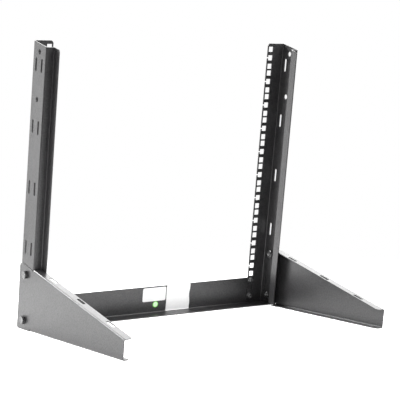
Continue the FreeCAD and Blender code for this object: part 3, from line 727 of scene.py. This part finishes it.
class RACK_OT_foot_fasteners(bpy.types.Operator):
    """Hexagon bolts and nuts that hold the feet to the posts"""
    bl_idname = "rack.foot_fasteners"
    bl_label = "Foot Fasteners"

    def execute(self, context):
        settings = context.scene.rack_fasteners
        material = fastener_material("black_fastener", tuple(settings.colour))
        bolts = foot_places("foot_bolt")
        length = rod_length(bolts[0], settings.foot_head_height)
        thread = thread_values(settings.foot_thread, settings.foot_pitch, length,
                               settings.foot_nut_height + FOOT_THREAD_LEAD, FOOT_TIP)
        set_parts("foot_bolts", shared_tree("set_threaded_parts", threaded_part_tree),
                  hexagon_bolt_mesh(settings, length),
                  under_heads(bolts, settings.foot_head_height), material,
                  **{"Seed": settings.turn_seed, **thread})
        nut = nut_mesh("foot_nut", settings.foot_head_across, settings.foot_nut_height,
                       settings.foot_thread)
        set_parts("foot_nuts", shared_tree("set_parts", plain_part_tree), nut,
                  foot_places("foot_nut"), material,
                  **{"Turn Spread": FOOT_NUT_TURN, "Seed": settings.turn_seed + 1})
        return {"FINISHED"}


def rod_length(place, head_height):
    """Length of a bolt from under its head to its tip."""
    node, _, axis = place
    low, high = span(node, axis)
    return high - low - head_height


def under_heads(places, head_height):
    """Places of bolts, moved from the top of each head to its bearing face."""
    return [(node, point + axis * head_height, axis) for node, point, axis in places]


def thread_values(diameter, pitch, rod, length, chamfer):
    """Values of a bolt's thread for the tree that cuts it."""
    return {"Thread Diameter": diameter - 2 * THREAD_PLAY, "Thread Pitch": pitch,
            "Thread Depth": THREAD_SHARE * pitch, "Thread Length": length,
            "Rod Length": rod, "Tip Chamfer": chamfer}


def hexagon_bolt_mesh(settings, length):
    """Bevelled hexagon head with a round bearing face, and the plain part of its shank."""
    across, height = settings.foot_head_across, settings.foot_head_height
    side, flat = hexagon(across), across / 2 * FLAT_SHARE
    collar, bearing = 0.4 * MM, across / 2 * 0.93
    dish_floor, dish_rim, dish_depth = flat * 0.62, flat * 0.74, 0.12 * MM
    shank = settings.foot_thread / 2 - THREAD_PLAY
    thread_start = length - settings.foot_nut_height - FOOT_THREAD_LEAD
    return turned("foot_bolt_head", (
        (dish_floor, -height + dish_depth),
        (dish_rim, -height),
        (flat, -height),
        (side, bevelled_edge(across, flat, -height, 1.0)),
        (side, -collar),
        (bearing, -collar),
        (bearing, 0.0),
        (shank, 0.0),
        (shank, thread_start),
    ))


def nut_mesh(name, across, height, thread):
    """Hexagon nut, bevelled on both faces, with a countersunk bore."""
    side, flat = hexagon(across), across / 2 * FLAT_SHARE
    bore, sink = thread / 2 + THREAD_PLAY, 0.4 * MM
    low = bevelled_edge(across, flat, 0.0, 1.0)
    high = bevelled_edge(across, flat, height, -1.0)
    return turned(name, (
        (bore, sink), (bore + sink, 0.0), (flat, 0.0), (side, low), (side, high),
        (flat, height), (bore + sink, height), (bore, height - sink),
    ), closed=True)


class RACK_OT_rail_fasteners(bpy.types.Operator):
    """Round head bolts, washers and nuts that hold the cross bar to the rails"""
    bl_idname = "rack.rail_fasteners"
    bl_label = "Rail Fasteners"

    def execute(self, context):
        settings = context.scene.rack_fasteners
        # Painted sheen: a lighter copy of the fastener black, on top of the same random wear
        # patches.
        material = fastener_material("worn_fastener", tuple(settings.rail_painted_sheen_colour))
        bolts = rail_places("rail_bolt")
        length = rod_length(bolts[0], settings.rail_head_height)
        thread = thread_values(settings.rail_thread, settings.rail_pitch, length,
                               settings.rail_nut_height + RAIL_THREAD_LEAD, RAIL_TIP)
        set_parts("rail_bolts", shared_tree("set_threaded_parts", threaded_part_tree),
                  round_bolt_mesh(settings, length),
                  under_heads(bolts, settings.rail_head_height), material,
                  **{"Turn Spread": RAIL_TURN, "Seed": settings.turn_seed + 2, **thread})
        tree = shared_tree("set_parts", plain_part_tree)
        set_parts("rail_washers", tree, washer_mesh(settings), rail_places("rail_washer"),
                  material)
        nut = nut_mesh("rail_nut", settings.rail_nut_across, settings.rail_nut_height,
                       settings.rail_thread)
        set_parts("rail_nuts", tree, nut, rail_places("rail_nut"), material,
                  **{"Turn Spread": RAIL_TURN, "Seed": settings.turn_seed + 3})
        return {"FINISHED"}


def round_bolt_mesh(settings, length):
    """Domed head with a hexagon socket, and the plain part of its shank."""
    height, width = settings.rail_head_height, settings.rail_head_width / 2
    key = hexagon(settings.rail_key, 1.0)
    depth, mouth = 2.0 * MM, 0.15 * MM
    tip, tip_depth = 0.4 * MM, 0.5 * MM
    shank = settings.rail_thread / 2 - THREAD_PLAY
    face, rim = 3.1 * MM, 0.7 * MM
    foot, foot_height = 0.25 * MM, 0.3 * MM
    dome = []
    steps = 8
    for step in range(1, steps + 1):
        angle = math.pi / 2 * step / steps
        dome.append((face + (width - face) * math.sin(angle),
                     -height + (height - rim) * (1 - math.cos(angle))))
    return turned("rail_bolt_head", (
        (tip, -height + depth + tip_depth),
        (key, -height + depth),
        (key, -height + mouth),
        (lambda angle: key(angle) + mouth, -height),
        (face, -height),
        *dome,
        (width, -foot_height),
        (width - foot, 0.0),
        (shank, 0.0),
        (shank, length - settings.rail_nut_height - RAIL_THREAD_LEAD),
    ))


def washer_mesh(settings):
    """Flat washer with blunted edges."""
    outer, bore = settings.washer_width / 2, settings.rail_thread / 2 + THREAD_PLAY
    wall, blunt = settings.washer_wall, 0.5 * MM
    return turned("rail_washer", (
        (outer - blunt, 0.0), (outer, blunt), (outer, wall - blunt), (outer - blunt, wall),
        (bore + blunt, wall), (bore, wall - blunt), (bore, blunt), (bore + blunt, 0.0),
    ), closed=True)


class RACK_OT_stickers(bpy.types.Operator):
    """Three blank stickers on the cross bar"""
    bl_idname = "rack.stickers"
    bl_label = "Stickers"

    def execute(self, context):
        settings = context.scene.rack_stickers
        hold(small_sticker(settings), ["label_small"], film_material(settings))
        hold(tall_sticker(settings), ["label_tall"], paper_material(settings))
        piece = round_sticker(settings)
        for name, colour in (("green_film", settings.ring_colour),
                             ("pale_green_film", settings.disc_colour)):
            piece.data.materials.append(dot_material(name, colour))
        hold(piece, ["label_round"])
        return {"FINISHED"}


def sheet_on_bar(name, node, wall, edges, cells, corner, lift, tail=0.0):
    """Thin sheet on the bar, a grid bent by its edges' wander, rounded corners and lift.

    Its tail runs on below the flat wall, round the bar's inner bend.
    """
    left, right = span(node, ACROSS)
    flat_start, high = span(node, UP)
    low = flat_start - tail
    seat = span(node, NEAR)[0]
    columns, rows = cells
    bm = bmesh.new()
    levels = ([], [])
    for row in range(rows + 1):
        for column in range(columns + 1):
            share, rise = column / columns, row / rows
            along = low + (high - low) * rise
            ends = left + edges(0, rise), right + edges(1, rise)
            across = ends[0] + (ends[1] - ends[0]) * share
            across, along = in_rounded(across, along, ends, (low, high), corner)
            proud = lift(share, rise)
            turn = max(0.0, flat_start - along) / BAR_BEND
            for level, depth in zip(levels, (proud + wall, proud)):
                reach = BAR_BEND - depth
                place = (ACROSS * across + UP * (max(along, flat_start) - reach * math.sin(turn))
                         + NEAR * (seat + BAR_BEND - reach * math.cos(turn)))
                level.append(bm.verts.new(place))
    width = columns + 1
    for row in range(rows):
        for column in range(columns):
            corner_index = row * width + column
            loop = (corner_index, corner_index + 1, corner_index + width + 1,
                    corner_index + width)
            for level in levels:
                bm.faces.new([level[index] for index in loop])
    rim = ([*range(width)]
           + [row * width + columns for row in range(1, rows + 1)]
           + [rows * width + column for column in range(columns - 1, -1, -1)]
           + [row * width for row in range(rows - 1, 0, -1)])
    for index, first in enumerate(rim):
        second = rim[(index + 1) % len(rim)]
        bm.faces.new((levels[0][first], levels[0][second], levels[1][second],
                      levels[1][first]))
    return new_object(name, mesh_from(bm, name, SHEET_ANGLE))


def in_rounded(across, along, ends, heights, corner):
    """Point of a rectangle pulled in where a corner is rounded."""
    near_x = min(max(across, ends[0] + corner), ends[1] - corner)
    near_y = min(max(along, heights[0] + corner), heights[1] - corner)
    reach = math.hypot(across - near_x, along - near_y)
    if reach <= corner:
        return across, along
    return (near_x + (across - near_x) * corner / reach,
            near_y + (along - near_y) * corner / reach)


def small_sticker(settings):
    """Film with rounded corners, lying flat, its edges a touch proud."""
    proud, start = 0.04 * MM, 0.8

    def lift(share, rise):
        rim = max(abs(2 * share - 1), abs(2 * rise - 1))
        return proud * max(0.0, rim - start) / (1 - start)
    return sheet_on_bar("label_small_film", "label_small", settings.film_wall,
                        lambda side, rise: 0.0, (50, 26), 3.0 * MM, lift)


def tall_sticker(settings):
    """Paper put on unevenly: its sides wander and it bulges off the bar in places."""
    wave, bulge_height = settings.paper_wave, 0.09 * MM

    def edges(side, rise):
        if side == 0:
            return -wave * (0.9 * (1 - rise) ** 3) + 0.35 * wave * math.sin(5.2 * rise + 0.6)
        return wave * (0.75 * math.sin(7.4 * rise + 0.5) - 0.35 * math.sin(13.0 * rise))

    def lift(share, rise):
        bulge = (math.sin(8.0 * share + 2.4 * rise) * math.sin(6.0 * rise + 1.0 + 2.0 * share)
                 + 0.5 * math.sin(17.0 * share * rise + 3.0))
        return bulge_height * (bulge + 1.6)
    return sheet_on_bar("label_tall_paper", "label_tall", settings.film_wall, edges,
                        (54, 60), 1.0 * MM, lift, tail=settings.paper_tail)


def round_sticker(settings):
    """Round film in two tones: a bright rim and a pale middle."""
    node = "label_round"
    low, high = span(node, ACROSS)
    radius = (high - low) / 2
    wall, blunt = settings.film_wall, 0.04 * MM
    disc, ring = 0.78 * radius, 0.8 * radius
    seat = span(node, NEAR)[0]
    mesh = turned("label_round_film", (
        (disc, wall), (ring, wall), (radius - blunt, wall), (radius, wall - blunt),
        (radius, 0.0)), segments=96)
    for polygon in mesh.polygons:
        cap = len(polygon.vertices) > 4
        polygon.material_index = int(cap and polygon.center.z > wall / 2)
    place = Matrix((ACROSS, UP, NEAR)).transposed().to_4x4()
    place.translation = (ACROSS * middle(node, ACROSS) + UP * middle(node, UP)
                         + NEAR * seat)
    mesh.transform(place)
    return new_object("label_round_film", mesh)


# Stage

class RACK_OT_stage(bpy.types.Operator):
    """Pale floor, soft studio light and the camera"""
    bl_idname = "rack.stage"
    bl_label = "Stage"

    def execute(self, context):
        settings = context.scene.rack_stage
        scene = context.scene
        scene.view_settings.view_transform = "Standard"
        make_floor(settings)
        make_world(scene, settings)
        for name, place, aim, size in SOFTBOXES:
            add_softbox(name, place, aim, size, getattr(settings, name))
        make_camera(scene)
        return {"FINISHED"}


def make_floor(settings):
    """Round floor under the rack that fades into the white background."""
    bm = bmesh.new()
    bmesh.ops.create_circle(bm, cap_ends=True, segments=96, radius=FLOOR_RADIUS)
    mesh = bpy.data.meshes.new("floor")
    bm.to_mesh(mesh)
    bm.free()
    floor = new_object("floor", mesh)
    material = bpy.data.materials.new("floor")
    material.use_nodes = True
    tree = material.node_tree
    tree.nodes.clear()
    colour = (*settings.floor_colour, 1.0)
    matt = add_node(tree, "ShaderNodeBsdfDiffuse", {"Color": colour})
    path = add_node(tree, "ShaderNodeLightPath").outputs
    seen = sums(tree, "MAXIMUM", path["Is Camera Ray"], sums(
        tree, "MAXIMUM", path["Is Glossy Ray"], path["Is Transmission Ray"]))
    glow = add_node(tree, "ShaderNodeEmission", {
        "Strength": sums(tree, "MULTIPLY", seen, settings.floor_glow)})
    lit = add_node(tree, "ShaderNodeAddShader", {0: matt.outputs[0], 1: glow.outputs[0]})
    place = add_node(tree, "ShaderNodeTexCoord").outputs["Object"]
    reach = add_node(tree, "ShaderNodeVectorMath", {0: place, 1: PATCH_MIDDLE},
                     operation="DISTANCE").outputs["Value"]
    fade = add_node(tree, "ShaderNodeMapRange", {
        "Value": reach, "From Min": PATCH_FADE[0], "From Max": PATCH_FADE[1]},
        interpolation_type="SMOOTHSTEP")
    clear = add_node(tree, "ShaderNodeBsdfTransparent")
    both = add_node(tree, "ShaderNodeMixShader", {
        0: fade.outputs[0], 1: lit.outputs[0], 2: clear.outputs[0]})
    add_node(tree, "ShaderNodeOutputMaterial", {"Surface": both.outputs[0]})
    mesh.materials.append(material)


def make_world(scene, settings):
    """White behind and above the rack, and a dim room below the level of the floor."""
    world = bpy.data.worlds.new("studio")
    world.use_nodes = True
    scene.world = world
    tree = world.node_tree
    tree.nodes.clear()
    path = add_node(tree, "ShaderNodeLightPath").outputs
    way = add_node(tree, "ShaderNodeSeparateXYZ", {
        0: add_node(tree, "ShaderNodeTexCoord").outputs["Generated"]}).outputs
    level = add_node(tree, "ShaderNodeMapRange", {
        "Value": way["Z"], "From Min": HORIZON[0], "From Max": HORIZON[1],
        "To Min": settings.room, "To Max": settings.ambient},
        interpolation_type="SMOOTHSTEP").outputs[0]
    mirrored = sums(tree, "MAXIMUM", path["Is Glossy Ray"], path["Is Transmission Ray"])
    above = sums(tree, "GREATER_THAN", way["Z"], 0.0)
    seen = sums(tree, "MAXIMUM", path["Is Camera Ray"], sums(tree, "MULTIPLY", mirrored, above))
    strength = sums(tree, "ADD", sums(tree, "MULTIPLY", seen, sums(
        tree, "SUBTRACT", 1.0, level)), level)
    background = add_node(tree, "ShaderNodeBackground", {
        "Color": (1.0, 1.0, 1.0, 1.0), "Strength": strength})
    add_node(tree, "ShaderNodeOutputWorld", {"Surface": background.outputs[0]})


def add_softbox(name, place, aim, size, power):
    """Rectangular lamp that points at its aim and stays out of the picture."""
    light = bpy.data.lights.new(name, "AREA")
    light.shape = "RECTANGLE"
    light.size, light.size_y = size
    light.energy = power
    lamp = bpy.data.objects.new(name, light)
    bpy.context.scene.collection.objects.link(lamp)
    lamp.location = place
    lamp.rotation_euler = (Vector(aim) - Vector(place)).to_track_quat("-Z", "Y").to_euler()
    lamp.visible_camera = False


def make_camera(scene):
    """Camera at the photograph's place: its position, direction, roll and focal length."""
    data = bpy.data.cameras.new("camera")
    data.lens = SENSOR_WIDTH * FOCAL_PIXELS / PICTURE_PIXELS
    data.sensor_width = SENSOR_WIDTH
    camera = bpy.data.objects.new("camera", data)
    scene.collection.objects.link(camera)
    turn, tilt, roll = map(math.radians, CAMERA_ANGLES)
    forward = Vector((math.sin(turn) * math.cos(tilt), math.cos(turn) * math.cos(tilt),
                      math.sin(tilt)))
    right = forward.cross(Vector((0.0, 0.0, 1.0))).normalized()
    above = right.cross(forward)
    right, above = (right * math.cos(roll) + above * math.sin(roll),
                    above * math.cos(roll) - right * math.sin(roll))
    pose = Matrix((right, above, -forward)).transposed().to_4x4()
    pose.translation = Vector(CAMERA_PLACE)
    camera.matrix_world = pose
    scene.camera = camera


# Add-on

class RACK_PT_panel(bpy.types.Panel):
    """Settings and steps of the rack"""
    bl_idname = "RACK_PT_panel"
    bl_label = "Desktop Rack"
    bl_space_type = "VIEW_3D"
    bl_region_type = "UI"
    bl_category = "Rack"

    def draw(self, context):
        scene = context.scene
        for group, step in (("rack_coat", "rack.sheet_metal"),
                            ("rack_fasteners", "rack.foot_fasteners"),
                            ("rack_stickers", "rack.stickers"),
                            ("rack_stage", "rack.stage")):
            box = self.layout.box()
            settings = getattr(scene, group)
            for name in settings.__annotations__:
                box.prop(settings, name)
            box.operator(step)
            if step == "rack.foot_fasteners":
                box.operator("rack.rail_fasteners")


SETTINGS = (
    ("rack_coat", RackCoatSettings),
    ("rack_fasteners", RackFastenerSettings),
    ("rack_stickers", RackStickerSettings),
    ("rack_stage", RackStageSettings),
)
CLASSES = (
    RACK_OT_sheet_metal,
    RACK_OT_foot_fasteners,
    RACK_OT_rail_fasteners,
    RACK_OT_stickers,
    RACK_OT_stage,
    RACK_PT_panel,
)


def register():
    for name, group in SETTINGS:
        bpy.utils.register_class(group)
        setattr(bpy.types.Scene, name, PointerProperty(type=group))
    for item in CLASSES:
        bpy.utils.register_class(item)


def unregister():
    for item in reversed(CLASSES):
        bpy.utils.unregister_class(item)
    for name, group in reversed(SETTINGS):
        delattr(bpy.types.Scene, name)
        bpy.utils.unregister_class(group)


def main():
    register()
    bpy.ops.rack.sheet_metal()
    bpy.ops.rack.foot_fasteners()
    bpy.ops.rack.rail_fasteners()
    bpy.ops.rack.stickers()
    bpy.ops.rack.stage()


if __name__ == "__main__":
    main()
